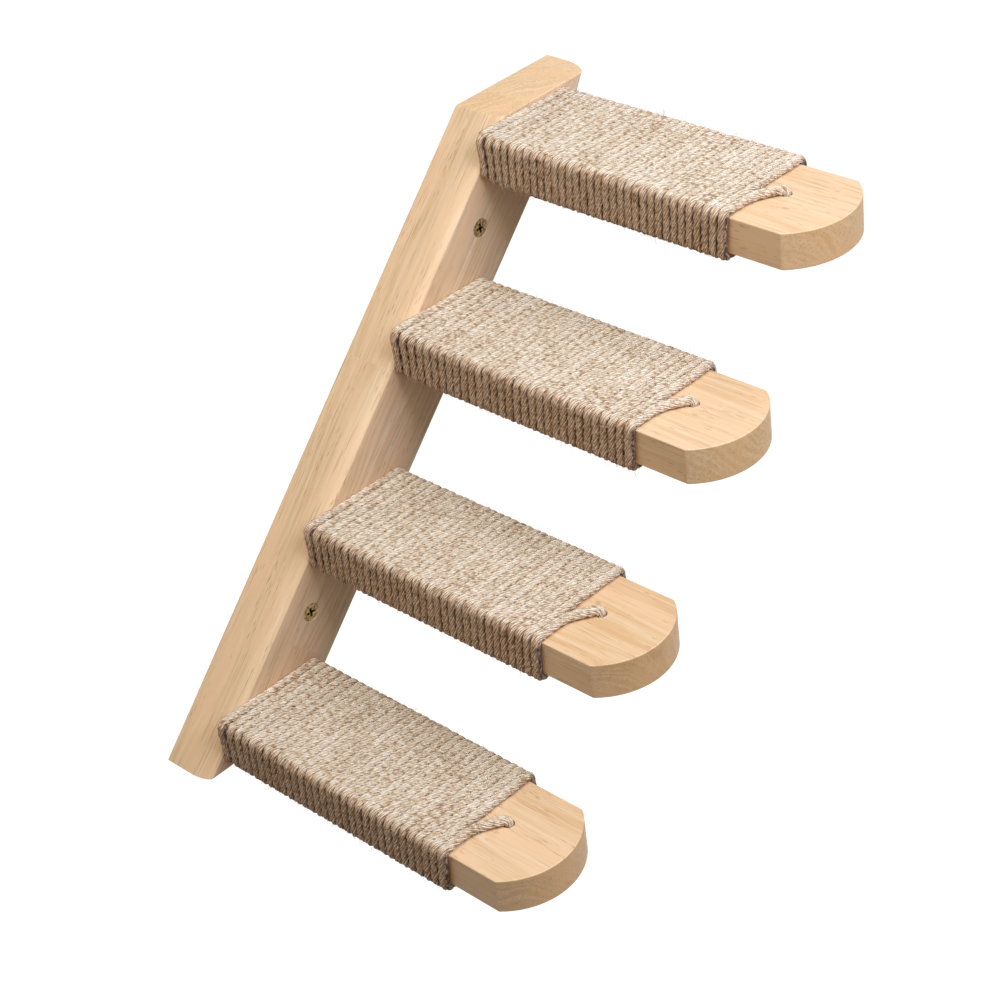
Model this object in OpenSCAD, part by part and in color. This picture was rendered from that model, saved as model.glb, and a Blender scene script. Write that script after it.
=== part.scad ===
// Four-step cat climbing wall. A leaning board is screwed to the wall, and four
// rope-wound steps stand out of it, level, one above the other.
// The origin is the middle of the board's back face. +X points out of the wall,
// +Y along the wall towards the high end, and +Z up. All lengths are in millimetres.

/* [Board] */
// Length of the board along its leaning edge
board_l = 400; // [380:5:460]
// Width of the board, square across its length
board_w = 54; // [50:1:64]
// Thickness of the board, from the wall to the steps
board_t = 34; // [28:1:40]
// Lean of the board from upright, in degrees
board_lean = 45; // [42:1:48]
// Radius of the two long front edges
board_edge_r = 8; // [3:0.5:10]

/* [Steps] */
// Distance from step to step, along the board
step_pitch = 117; // [112:1:122]
// Length of a step, from the board to its tip
step_l = 221; // [212:1:250]
// Width of a step
step_w = 66; // [60:1:70]
// Thickness of a step
step_t = 21; // [18:0.5:24]
// How far the middle of the tip stands past its two corners
tip_rise = 17; // [8:1:24]
// How far the steps sit off the board's middle line, towards its low side
step_shift = 2.5; // [0:0.5:4]

/* [Rope] */
// Diameter of the rope
rope_d = 4.8; // [4.2:0.1:5]
// Length of a step left bare past the winding, up to its tip
bare_l = 50; // [44:1:64]
// Turns of rope on a step
wrap_turns = 22; // [14:1:22]
// Air between the rope and the wood
rope_air = 0.25; // [0.2:0.05:0.4]
// Diameter of the hole that the outer end goes down
end_hole_d = 6.5; // [6.2:0.1:8]
// Distance from the end of the winding to the middle of that hole
end_hole_out = 9.5; // [9:0.5:14]
// Distance of that hole from the middle line of the step
end_hole_side = 2.5; // [-4:0.5:8]
// Diameter of the hole in the near side that the inner end goes into
start_hole_d = 5.8; // [5.6:0.1:6]
// Depth of that hole
start_hole_deep = 12; // [8:1:20]
// Height of that hole above the middle of the step
start_hole_up = 6; // [5:0.25:6]

/* [Wall screws] */
// Length of a wall screw under the top of its head
wall_screw_l = 50; // [48:1:90]
// Outer diameter of its thread, which stands out of the board's back
wall_thread_d = 5; // [4:0.1:5.1]
// Diameter of its plain shank, inside the board
wall_shank_d = 3.7; // [3:0.1:4]
// Diameter of its head
wall_head_d = 10.5; // [9:0.25:12]
// How far the head is sunk in the board's front
wall_head_sink = 0.4; // [0:0.1:1.5]
// How far the wall screws sit off the steps' middle line, square across the board, towards its low side
wall_screw_shift = 2.7; // [0:0.1:6]

/* [Step screws] */
// Length of a screw that holds a step
step_screw_l = 70; // [55:1:90]
// Outer diameter of its thread
step_thread_d = 4.5; // [4:0.1:5]
// Diameter of its plain shank
step_shank_d = 3.4; // [3:0.1:3.8]
// Diameter of its head
step_head_d = 9; // [8:0.25:10]
// How far the head is sunk in the board's back
step_head_sink = 1; // [0.5:0.1:3]
// Distance between the two screws of a step
step_screw_gap = 36; // [28:1:40]

/* [Screw fits] */
// Diameter of the bore in the board that a screw passes through
screw_bore_d = 5.4; // [5.2:0.1:6]
// Air round the parts of a screw that fit closely
screw_air = 0.1; // [0.05:0.05:0.2]
// Length of a screw's point
point_l = 4; // [2:0.5:6]
// Length of one arm pair of the cross recess, from end to end
cross_l = 4.8; // [4:0.1:5.4]
// Width of an arm of the cross recess
cross_w = 1.1; // [0.8:0.1:1.4]
// Depth of the cross recess
cross_deep = 2; // [1.2:0.1:2.4]

/* [Hidden] */

$fn = 48;
wood_tone = "burlywood";
tip_tone = "tan";
rope_tone = "rosybrown";
brass_tone = "darkgoldenrod";
steel_tone = "silver";

steps = 4;
rope_sides = 6;
// Cuts run past the face that they open by this much
overrun = 1;
// The lower step screws of a pair sit towards -Y, the higher ones towards +Y
low = -1;
high = 1;

// Level height and level width of the leaning board
board_h = board_l * cos(board_lean);
board_across = board_w / cos(board_lean);
// Arc of a step's tip through its two corners and its middle
tip_r = (pow(step_w / 2, 2) + pow(tip_rise, 2)) / (2 * tip_rise);
// Length of a step that is wound, from the board outwards
wrap_l = step_l - bare_l;
// Distance of the rope's middle from the wood, and the run cut off at each corner
rope_out = rope_d / 2 + rope_air;
corner_cut = rope_out * (2 - sqrt(2));
// Middle of the first turn and of the last full turn, from the board's face
first_turn = rope_out;
last_turn = wrap_l - rope_d / 2;
turn_pitch = (last_turn - first_turn) / (wrap_turns - 1);
end_hole_x = wrap_l + end_hole_out;
// Cone under a flat head runs down to the shank at 45 degrees
function head_cone(head_d, shank_d) = (head_d - shank_d) / 2;

// Place of step k on the board's middle line, step 1 being the highest
function along(k) = ((steps + 1) / 2 - k) * step_pitch;
function place(s) = [0, s * sin(board_lean), s * cos(board_lean)];
// A way square across the board, towards its high side
function across(s) = [0, s * cos(board_lean), -s * sin(board_lean)];

// Half of the step's section, as the rope's middle goes round it
side_y = step_w / 2 + rope_out;
top_z = step_t / 2 + rope_out;

// The two points that take the winding round a corner, on the way given
function near_top(x) = [[x, -side_y, top_z - corner_cut], [x, -side_y + corner_cut, top_z]];
function far_top(x) = [[x, side_y - corner_cut, top_z], [x, side_y, top_z - corner_cut]];
function far_low(x) = [[x, side_y, corner_cut - top_z], [x, side_y - corner_cut, -top_z]];
function near_low(x) = [[x, corner_cut - side_y, -top_z], [x, -side_y, corner_cut - top_z]];
function turn_x(n) = first_turn + n * turn_pitch;

// The inner end lies in its hole, comes straight out and turns up
bend_cut = rope_d / 4;
start_run = [
    [first_turn, -step_w / 2 + start_hole_deep - rope_air, start_hole_up],
    [first_turn, -side_y + bend_cut, start_hole_up],
    [first_turn, -side_y, start_hole_up + bend_cut]
];
// A turn crosses the top, the far side and the underside square, and moves on by
// one pitch as it climbs the near side
winding = [
    for (n = [0:wrap_turns - 1])
        each concat(near_top(turn_x(n)), far_top(turn_x(n)), far_low(turn_x(n)), near_low(turn_x(n)))
];
// The outer end crosses the top aslant and goes down its hole
tail_from = near_top(turn_x(wrap_turns));
end_hole = [end_hole_x, end_hole_side, top_z];
tail_way = (end_hole - tail_from[1]) / norm(end_hole - tail_from[1]);
tail_cut = rope_d / 3;
end_run = concat(tail_from, [
    end_hole - tail_way * tail_cut,
    end_hole - [0, 0, tail_cut],
    [end_hole_x, end_hole_side, rope_air - step_t / 2]
]);
route = concat(start_run, winding, end_run);

// Tube of constant section along a line of points, mitred at each of them
function unit(v) = v / norm(v);
function way(line, i) = unit(line[i + 1] - line[i]);
function mitre(line, i) =
    i == 0 ? way(line, 0) :
    i == len(line) - 1 ? way(line, i - 1) :
    unit(way(line, i - 1) + way(line, i));
function slide(ring, dir, point, normal) =
    [for (v = ring) v + dir * (((point - v) * normal) / (dir * normal))];
function rings(line, first) = [
    for (i = 0, ring = first; i < len(line);
         i = i + 1,
         ring = i < len(line) ? slide(ring, way(line, i - 1), line[i], mitre(line, i)) : ring)
        ring
];
module tube(line, first) {
    sides = len(first);
    all_rings = rings(line, first);
    last = (len(line) - 1) * sides;
    walls = [
        for (i = [0:len(line) - 2], j = [0:sides - 1])
            let (a = i * sides + j, b = i * sides + (j + 1) % sides)
            each [[a, b, b + sides], [a, b + sides, a + sides]]
    ];
    start_cap = [for (j = [1:sides - 2]) [0, j + 1, j]];
    end_cap = [for (j = [1:sides - 2]) [last, last + j, last + j + 1]];
    polyhedron(
        points = [for (ring = all_rings) each ring],
        faces = concat(walls, start_cap, end_cap),
        convexity = 10
    );
}

// Least air between neighbouring turns, measured between points along the route
sample_run = rope_d / 2;
samples = [
    for (i = [0:len(route) - 2])
        let (run = norm(route[i + 1] - route[i]), parts = ceil(run / sample_run))
        for (j = [0:parts - 1]) route[i] + (route[i + 1] - route[i]) * j / parts
];
loop_l = 4 * (side_y + top_z - 2 * corner_cut) + 4 * corner_cut * sqrt(2);
loop_samples = floor(loop_l / sample_run);
apart_share = 0.7;
reach_share = 1.5;
function least_air() = min([
    for (i = [0:len(samples) - 1])
        let (from = i + floor(loop_samples * apart_share),
             to = min(len(samples) - 1, i + floor(loop_samples * reach_share)))
        if (from <= to) each [for (j = [from:to]) norm(samples[i] - samples[j]) - rope_d]
]);
function route_l() = [for (i = [0:len(route) - 2]) norm(route[i + 1] - route[i])] * [for (i = [0:len(route) - 2]) 1];

// A flat-headed wood screw along +X: head at the origin, plain shank, thread and point
module screw_body(screw_l, plain_l, head_d, shank_d, thread_d) {
    rotate([0, 90, 0])
        rotate_extrude()
            polygon([
                [0, 0],
                [head_d / 2, 0],
                [shank_d / 2, head_cone(head_d, shank_d)],
                [shank_d / 2, plain_l],
                [thread_d / 2, plain_l],
                [thread_d / 2, screw_l - point_l],
                [0, screw_l]
            ]);
}
module cross_recess() {
    for (turn = [0, 90])
        rotate([turn, 0, 0])
            translate([-overrun, -cross_l / 2, -cross_w / 2])
                cube([cross_deep + overrun, cross_l, cross_w]);
}
module screw(screw_l, plain_l, head_d, shank_d, thread_d) {
    difference() {
        screw_body(screw_l, plain_l, head_d, shank_d, thread_d);
        cross_recess();
    }
}
// Bore and countersink for a screw along +X, its head sunk under the face at the origin
module screw_cut(deep, head_d, shank_d, sink) {
    bore_cone = (head_d - screw_bore_d) / 2 + screw_air;
    translate([-overrun, 0, 0])
        rotate([0, 90, 0])
            cylinder(d = screw_bore_d, h = deep + overrun);
    rotate([0, 90, 0])
        rotate_extrude()
            polygon([
                [0, -overrun],
                [head_d / 2 + screw_air, -overrun],
                [head_d / 2 + screw_air, sink],
                [screw_bore_d / 2, sink + bore_cone],
                [0, sink + bore_cone]
            ]);
}

// Section of the board, its back edge along the wall and its front edges rounded
module board_section() {
    translate([0, -board_w / 2])
        square([board_t - board_edge_r, board_w]);
    translate([0, -board_w / 2 + board_edge_r])
        square([board_t, board_w - 2 * board_edge_r]);
    for (side = [-1, 1])
        translate([board_t - board_edge_r, side * (board_w / 2 - board_edge_r)])
            circle(r = board_edge_r);
}
// The board is cut level at both ends
module board_blank() {
    spare = board_w * tan(board_lean);
    intersection() {
        rotate([-board_lean, 0, 0])
            translate([0, 0, -board_l / 2 - spare])
                linear_extrude(board_l + 2 * spare)
                    board_section();
        translate([-overrun, -board_l, -board_h / 2])
            cube([board_t + 2 * overrun, 2 * board_l, board_h]);
    }
}
// Wall screws stand halfway between the two upper steps and the two lower steps
module at_wall_screw(side) {
    translate([0, -step_shift, 0] + place(side * step_pitch) + across(-wall_screw_shift))
        children();
}
module at_step(k) {
    translate([board_t, -step_shift, 0] + place(along(k)))
        children();
}
module at_step_screw(k, side) {
    translate([0, side * step_screw_gap / 2 - step_shift, 0] + place(along(k)))
        children();
}
module from_front(sink) {
    translate([board_t - sink, 0, 0])
        rotate([0, 0, 180])
            children();
}

module back_board() {
    color(wood_tone)
        difference() {
            board_blank();
            for (side = [low, high])
                at_wall_screw(side)
                    from_front(0)
                        screw_cut(board_t + overrun, wall_head_d, wall_shank_d, wall_head_sink);
            for (k = [1:steps], side = [low, high])
                at_step_screw(k, side)
                    screw_cut(board_t + overrun, step_head_d, step_shank_d, step_head_sink);
        }
}

// Outline of a step, with its sides straight and its tip an arc
module step_outline() {
    intersection() {
        translate([0, -step_w / 2])
            square([step_l, step_w]);
        union() {
            translate([0, -step_w / 2])
                square([step_l - tip_rise, step_w]);
            translate([step_l - tip_r, 0])
                circle(r = tip_r, $fn = 96);
        }
    }
}
// What the step screws reach into the step, and their pilot bores
step_screw_in = step_screw_l + step_head_sink - board_t;
module step_pilot() {
    translate([-overrun, 0, 0])
        rotate([0, 90, 0])
            cylinder(d = step_thread_d + 2 * screw_air, h = step_screw_in + 2 * overrun);
}
module step() {
    color(tip_tone)
        difference() {
            translate([0, 0, -step_t / 2])
                linear_extrude(step_t)
                    step_outline();
            translate([end_hole_x, end_hole_side, -step_t / 2 - overrun])
                cylinder(d = end_hole_d, h = step_t + 2 * overrun);
            translate([first_turn, -step_w / 2 - overrun, start_hole_up])
                rotate([-90, 0, 0])
                    cylinder(d = start_hole_d, h = start_hole_deep + overrun);
            for (side = [low, high])
                translate([0, side * step_screw_gap / 2, 0])
                    step_pilot();
        }
}

// First section of the rope, flat towards the neighbouring turns
start_ring = [
    for (j = [0:rope_sides - 1])
        let (turn = (j + 0.5) * 360 / rope_sides)
        start_run[0] + [cos(turn), 0, sin(turn)] * rope_d / 2
];
module rope() {
    echo("least air between turns", least_air(), "length of one rope", route_l());
    color(rope_tone)
        tube(route, start_ring);
}

module wall_screw() {
    color(brass_tone)
        from_front(wall_head_sink)
            screw(wall_screw_l, board_t - wall_head_sink, wall_head_d, wall_shank_d, wall_thread_d);
}
module step_screw() {
    color(steel_tone)
        translate([step_head_sink, 0, 0])
            screw(step_screw_l, board_t - step_head_sink, step_head_d, step_shank_d, step_thread_d);
}

back_board();
at_step(1) step();  // step_1
at_step(2) step();  // step_2
at_step(3) step();  // step_3
at_step(4) step();  // step_4
at_step(1) rope();  // step_1_rope
at_step(2) rope();  // step_2_rope
at_step(3) rope();  // step_3_rope
at_step(4) rope();  // step_4_rope
at_wall_screw(high) wall_screw();  // upper_wall_screw
at_wall_screw(low) wall_screw();  // lower_wall_screw
at_step_screw(1, low) step_screw();  // step_1_low_screw
at_step_screw(1, high) step_screw();  // step_1_high_screw
at_step_screw(2, low) step_screw();  // step_2_low_screw
at_step_screw(2, high) step_screw();  // step_2_high_screw
at_step_screw(3, low) step_screw();  // step_3_low_screw
at_step_screw(3, high) step_screw();  // step_3_high_screw
at_step_screw(4, low) step_screw();  // step_4_low_screw
at_step_screw(4, high) step_screw();  // step_4_high_screw
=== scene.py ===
# %% [markdown]
# # A cat climbing wall
# A thick wooden board leans along a wall. Four level steps stand out of it, each wound with
# jute rope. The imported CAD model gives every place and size. This notebook gives the looks:
# rounded and grained wood, rope laid from six strands, and screws with a real thread.
# The first cell loads that model as a fixed frame. Nothing in it is moved or resized.

# %% Load the frame
import math
from functools import partial

import bmesh
import bpy
from mathutils import Matrix, Vector, noise


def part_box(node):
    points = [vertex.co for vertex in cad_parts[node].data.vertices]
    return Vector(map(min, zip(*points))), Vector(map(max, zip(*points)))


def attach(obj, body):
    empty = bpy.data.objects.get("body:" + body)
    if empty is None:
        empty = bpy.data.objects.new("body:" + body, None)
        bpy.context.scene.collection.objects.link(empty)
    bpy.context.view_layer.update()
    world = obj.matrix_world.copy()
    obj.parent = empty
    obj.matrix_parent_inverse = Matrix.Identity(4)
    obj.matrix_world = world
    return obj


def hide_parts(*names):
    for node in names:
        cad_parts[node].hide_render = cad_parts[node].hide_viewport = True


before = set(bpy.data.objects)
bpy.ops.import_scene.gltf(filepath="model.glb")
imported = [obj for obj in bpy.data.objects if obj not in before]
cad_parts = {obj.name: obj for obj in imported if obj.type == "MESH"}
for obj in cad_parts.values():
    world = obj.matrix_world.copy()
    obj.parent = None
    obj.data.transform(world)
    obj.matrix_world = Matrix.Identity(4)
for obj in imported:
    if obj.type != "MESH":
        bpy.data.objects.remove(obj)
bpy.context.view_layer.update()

MM = 0.001

# %% [markdown]
# ## Sizes
# Most sizes are read from the boxes of the CAD pieces, so the looks can't drift away from
# them. Only what a box doesn't show is written here: the board's lean, the roundings, the
# tip's arc, the winding's length, and the rope's holes in a step. An ease is given as how
# far it reaches across the board, and how far back from the front.

# %% Sizes from the frame, and the few that a box does not show
STEPS = [1, 2, 3, 4]
board_low, board_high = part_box("back_board")
BOARD_T = board_high.x
BOARD_H = board_high.z - board_low.z
BOARD_SPAN = board_high.y - board_low.y
BOARD_LEAN = math.radians(45)
BOARD_ACROSS = BOARD_SPAN - BOARD_H * math.tan(BOARD_LEAN)
BOARD_W = BOARD_ACROSS * math.cos(BOARD_LEAN)
BOARD_NEAR_EASE = (5 * MM, 15 * MM)
BOARD_FAR_EASE = (6.3 * MM, 6.3 * MM)
BOARD_FAR_EASE_TOP = (10 * MM, 21 * MM)
BOARD_EASED_TOP = 10 * MM
SMALL_EDGE_R = 0.7 * MM
TIP_RISE = 17 * MM
WRAP_L = 171 * MM
HOLE_D = 6.5 * MM
HOLE_OUT = 9.5 * MM
HOLE_SIDE = 2.5 * MM
HOLE_RIM = 0.4 * MM
START_HOLE_D = 5.8 * MM
START_HOLE_DEEP = 12 * MM
START_HOLE_UP = 6 * MM
UP_BOARD = Vector((0, math.sin(BOARD_LEAN), math.cos(BOARD_LEAN)))
ACROSS_BOARD = Vector((0, math.cos(BOARD_LEAN), -math.sin(BOARD_LEAN)))


def middle(node):
    """Middle of a CAD node's box."""
    low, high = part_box(node)
    return (low + high) / 2


STEP_AT = {k: Vector((BOARD_T, middle(f"step_{k}").y, middle(f"step_{k}").z)) for k in STEPS}
step_low, step_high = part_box("step_1")
STEP_L = step_high.x - step_low.x
STEP_W = step_high.y - step_low.y
STEP_T = step_high.z - step_low.z
print(f"board {BOARD_W / MM:.1f} wide, {BOARD_T / MM:.1f} thick, {BOARD_H / MM:.1f} high")
print(f"step {STEP_L / MM:.1f} long, {STEP_W / MM:.1f} wide, {STEP_T / MM:.1f} thick")

# %% [markdown]
# ## Camera
# The photograph looks down on the steps from outside, with the camera rolled a little. Its
# place came from fitting a pinhole camera to the edges of the object. The camera is built
# from an azimuth, an elevation and a roll, because those three can be read and checked.

# %% Camera at the photograph's place
CAMERA_AT = Vector((0.89661, -0.72690, 0.70284))
CAMERA_AZIMUTH = math.radians(47.426)
CAMERA_ELEVATION = math.radians(34.183)
CAMERA_ROLL = math.radians(-7.612)
CAMERA_LENS = 85.485
SENSOR = 36


def camera_turn(azimuth, elevation, roll):
    """Rotation of a camera that looks from azimuth and elevation towards the object."""
    back = Vector((
        math.sin(azimuth) * math.cos(elevation),
        -math.cos(azimuth) * math.cos(elevation),
        math.sin(elevation),
    ))
    level = Vector((0, 0, 1)).cross(back).normalized()
    upright = back.cross(level)
    right = level * math.cos(roll) + upright * math.sin(roll)
    up = upright * math.cos(roll) - level * math.sin(roll)
    return Matrix((right, up, back)).transposed()


camera_data = bpy.data.cameras.new("photo_camera")
camera_data.lens = CAMERA_LENS
camera_data.sensor_width = SENSOR
camera_data.clip_start = 0.05
camera_data.clip_end = 50
camera = bpy.data.objects.new("photo_camera", camera_data)
bpy.context.scene.collection.objects.link(camera)
turn = camera_turn(CAMERA_AZIMUTH, CAMERA_ELEVATION, CAMERA_ROLL)
camera.matrix_world = Matrix.Translation(CAMERA_AT) @ turn.to_4x4()
bpy.context.scene.camera = camera
print("camera looks along", [round(v, 3) for v in -turn.col[2]])

# %% [markdown]
# ## Three small helpers for node trees
# Materials and Geometry Nodes are both trees of nodes. One function adds a node, sets its
# operation and other properties, and fills its inputs with values or links. Given a node,
# it links that node's first output in use. A second function turns a hex colour, as a paint
# chart gives it, into the linear values that the shaders work in. A third makes an empty
# material.

# %% Helpers for nodes and colours
def add_node(tree, kind, inputs=None, operation=None, **settings):
    """Adds a node, a shader node where the kind doesn't say so. Nodes and sockets are linked."""
    node = tree.nodes.new(kind if "Node" in kind else "ShaderNode" + kind)
    if operation:
        node.operation = operation
    for name, value in settings.items():
        setattr(node, name, value)
    for key, value in (inputs or {}).items():
        if isinstance(value, bpy.types.Node):
            value = next(socket for socket in value.outputs if socket.enabled)
        if isinstance(value, bpy.types.NodeSocket):
            tree.links.new(value, node.inputs[key])
        else:
            node.inputs[key].default_value = value
    return node


def colour(hex_code):
    """Linear RGBA of an sRGB hex colour."""
    parts = [int(hex_code[i:i + 2], 16) / 255 for i in (1, 3, 5)]
    linear = [p / 12.92 if p <= 0.04045 else ((p + 0.055) / 1.055) ** 2.4 for p in parts]
    return (*linear, 1)


def new_material(name):
    """An empty material, and what adds a node to it."""
    material = bpy.data.materials.new(name)
    material.use_nodes = True
    material.node_tree.nodes.clear()
    return material, partial(add_node, material.node_tree)


print("hex #808080 is", [round(v, 3) for v in colour("#808080")[:3]], "in linear light")

# %% [markdown]
# ## Rubberwood
# Board and steps are rubberwood (parawood), sanded smooth and given a clear satin lacquer. It
# is a pale, warm wood with a fine grain, faint growth rings, and short dark pores that are
# 2 to 8 mm long. Boards are glued up from staves, so neighbouring strips differ in tone.
# A picture could show this, but it would stretch round the edges. Here the grain is built in
# the solid, in millimetres along, across and through the piece: a cut end then shows its
# pores as dots and its rings as arcs, as real end grain does.

# %% Rubberwood material
LACQUER_IOR = 1.5
END_GRAIN_TINT = "#FFF2D4"


def rubberwood(name, centre, turned, stave_w, stave_l, seed, light, mid, dark, warm):
    """Satin-lacquered rubberwood. The grain runs along the X axis of the turned pattern."""
    material, add = new_material(name)
    place = add("TexCoord")
    shift = turned @ Vector(centre) / MM
    mm = add("Mapping", {
        "Vector": place.outputs["Object"],
        "Location": -shift,
        "Rotation": turned.to_euler(),
        "Scale": (1 / MM, 1 / MM, 1 / MM),
    })
    split = add("SeparateXYZ", {0: mm})

    # Which stave a point lies in, across the piece and then along it
    row = add("Math", {0: split.outputs["Y"], 1: 1 / stave_w, 2: 0.37}, "MULTIPLY_ADD")
    row = add("Math", {0: row}, "FLOOR")
    row_luck = add("TexWhiteNoise", {"Vector": (seed, 0, 0), "W": row}, noise_dimensions="4D")
    along = add("Math", {0: split.outputs["X"], 1: 1 / stave_l, 2: row_luck}, "MULTIPLY_ADD")
    along = add("Math", {0: along}, "FLOOR")
    stave = add("CombineXYZ", {"X": row, "Y": along, "Z": seed})
    luck = add("TexWhiteNoise", {"Vector": stave}, noise_dimensions="3D")
    luck_parts = add("SeparateColor", {0: luck.outputs["Color"]})

    # Each stave takes its grain from another place in the tree
    moved = {0: luck.outputs["Color"], 1: (900, 50, 70), 2: mm}
    jump = add("VectorMath", moved, "MULTIPLY_ADD")

    # Growth rings lie round a pith that is outside the piece, and wander along it
    wander = add("VectorMath", {0: jump, 1: (0.006, 0.03, 0.03)}, "MULTIPLY")
    wander = add("TexNoise", {"Vector": wander, "Scale": 1, "Detail": 2})
    moved = {0: wander.outputs["Color"], 1: (0, 26, 26), 2: jump}
    bent = add("VectorMath", moved, "MULTIPLY_ADD")
    flat = add("VectorMath", {0: bent, 1: (0.012, 1, 0.8)}, "MULTIPLY")
    reach = add("VectorMath", {0: flat, 1: (0, -22, -46)}, "DISTANCE")
    rings = add("TexNoise", {"W": reach, "Scale": 0.42, "Detail": 1.5}, noise_dimensions="1D")

    # Long streaks, fine fibres and broad clouds, each stretched along the grain
    layers = []
    for run, width, detail, roughness in (
        (0.014, 0.75, 3, 0.6), (0.09, 2.6, 2, 0.55), (0.013, 0.05, 2, 0.5),
    ):
        at = add("VectorMath", {0: jump, 1: (run, width, width)}, "MULTIPLY")
        layers.append(add("TexNoise", {
            "Vector": at, "Scale": 1, "Detail": detail, "Roughness": roughness,
        }))
    streaks, fibres, clouds = layers

    # Pores are short dark dashes, and some line up to long thin ones. Real ones are 0.2 mm wide,
    # and are drawn at about 0.4 mm, so that they still show when a millimetre is two pixels
    dashes = []
    for run, width, low, strength in ((0.1, 0.85, 0.5, 0.9), (0.028, 1.05, 0.4, 0.8)):
        at = add("VectorMath", {0: jump, 1: (run, width, width)}, "MULTIPLY")
        dash = add("TexVoronoi", {"Vector": at, "Scale": 1})
        body = add("MapRange", {
            "Value": dash, "From Min": 0.12, "From Max": 0.27, "To Min": strength, "To Max": 0,
        })
        at = add("VectorMath", {0: jump, 1: (run * 0.3, 0.16, 0.16)}, "MULTIPLY")
        crowd = add("TexNoise", {"Vector": at, "Scale": 1, "Detail": 1})
        crowd = add("MapRange", {"Value": crowd, "From Min": low, "From Max": low + 0.14})
        dashes.append(add("Math", {0: body, 1: crowd}, "MULTIPLY"))
    pores = add("Math", {0: dashes[0], 1: dashes[1]}, "MAXIMUM")

    # The tone of a point, a weighted sum: 0 for the palest wood, 1 for the darkest
    tone = -0.22
    for value, weight in ((rings, 0.75), (streaks, 0.9), (fibres, 0.6), (luck_parts, 0.3)):
        tone = add("Math", {0: value, 1: weight, 2: tone}, "MULTIPLY_ADD")
    tone = add("MapRange", {"Value": tone, "From Min": 0.6, "From Max": 1.3})
    plain = add("Mix", {0: tone, 6: colour(light), 7: colour(mid)}, data_type="RGBA")
    blush = add("MapRange", {"Value": clouds, "From Min": 0.38, "From Max": 0.66, "To Max": 0.85})
    warmed = add("Mix", {0: blush, 6: plain, 7: colour(warm)}, data_type="RGBA")
    pore_tint = add("Math", {0: pores, 1: 0.6}, "MULTIPLY")
    grained = add("Mix", {0: pore_tint, 6: warmed, 7: colour(dark)}, data_type="RGBA")

    # End grain drinks more lacquer, so it is a little deeper in colour
    run = turned.transposed() @ Vector((1, 0, 0))
    facing = add("VectorMath", {0: place.outputs["Normal"], 1: run}, "DOT_PRODUCT")
    facing = add("Math", {0: facing}, "ABSOLUTE")
    end_grain = add("MapRange", {"Value": facing, "From Min": 0.45, "From Max": 0.95, "To Max": 0.8})
    deepened = {0: end_grain, 6: grained, 7: colour(END_GRAIN_TINT)}
    wood = add("Mix", deepened, data_type="RGBA", blend_type="MULTIPLY")

    # Pores stay open under a thin lacquer, and fibres stand up in it a little
    height = add("Math", {0: pores, 1: -1, 2: 0}, "MULTIPLY_ADD")
    height = add("Math", {0: fibres, 1: 0.35, 2: height}, "MULTIPLY_ADD")
    bump = add("Bump", {"Height": height, "Strength": 0.35, "Distance": 0.12 * MM})
    gloss = add("MapRange", {"Value": streaks, "To Min": 0.4, "To Max": 0.56})
    shader = add("BsdfPrincipled", {
        "Base Color": wood, "Roughness": gloss, "IOR": LACQUER_IOR, "Normal": bump,
    })
    add("OutputMaterial", {"Surface": shader})
    return material


along_x = Matrix.Identity(3)
along_board = Matrix((UP_BOARD, ACROSS_BOARD, UP_BOARD.cross(ACROSS_BOARD)))
BOARD_WOOD = rubberwood("rubberwood_board", (0, 0, 0), along_board, 30, 330, 3,
                        "#F1DABB", "#D9B286", "#7C4720", "#EDC59C")
STEP_WOOD = {
    k: rubberwood(f"rubberwood_step_{k}", STEP_AT[k], along_x, 24, 600, 10 + k,
                  "#EDD2AE", "#D5AB7D", "#7C4720", "#E8C198")
    for k in STEPS
}
print("wood materials:", BOARD_WOOD.name, *[m.name for m in STEP_WOOD.values()])

# %% [markdown]
# ## Jute rope
# The rope is natural jute: dry, straw-coloured plant fibre with a dull silky sheen. Fibres are
# spun to yarn, yarns are twisted to strands, and six strands are laid to the rope. The
# shape of the strands is modelled below. The yarns on them are too fine for that, so they are
# drawn by the material: twelve yarns side by side round the rope, in flecks 3 mm long. It
# follows four attributes that the rope carries: how far along it a point lies, where round
# it, whether its turn is on a flank of the step, and how near the gap between two turns.
# The material also paints shade into the seams between yarns, the dips between strands and the gaps
# between turns, and paints the flanks darker and warmer.

# %% Jute material
JUTE_IOR = 1.53
STRAND_ALONG = "strand_along"
STRAND_AROUND = "strand_around"
YARNS = 12
FLECK_L = 3 * MM
FLANK = "flank"
TURN_GAP = "turn_gap"


def strand_lobe(add, around):
    """1 on the crown of each of the six strands, 0 in the dip between two: |cos 3a| from cos a."""
    x = add("SeparateXYZ", {0: around})
    square = add("Math", {0: x, 1: x}, "MULTIPLY")
    triple = add("Math", {0: square, 1: 4, 2: -3}, "MULTIPLY_ADD")
    triple = add("Math", {0: triple, 1: x}, "MULTIPLY")
    return add("Math", {0: triple}, "ABSOLUTE")


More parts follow.
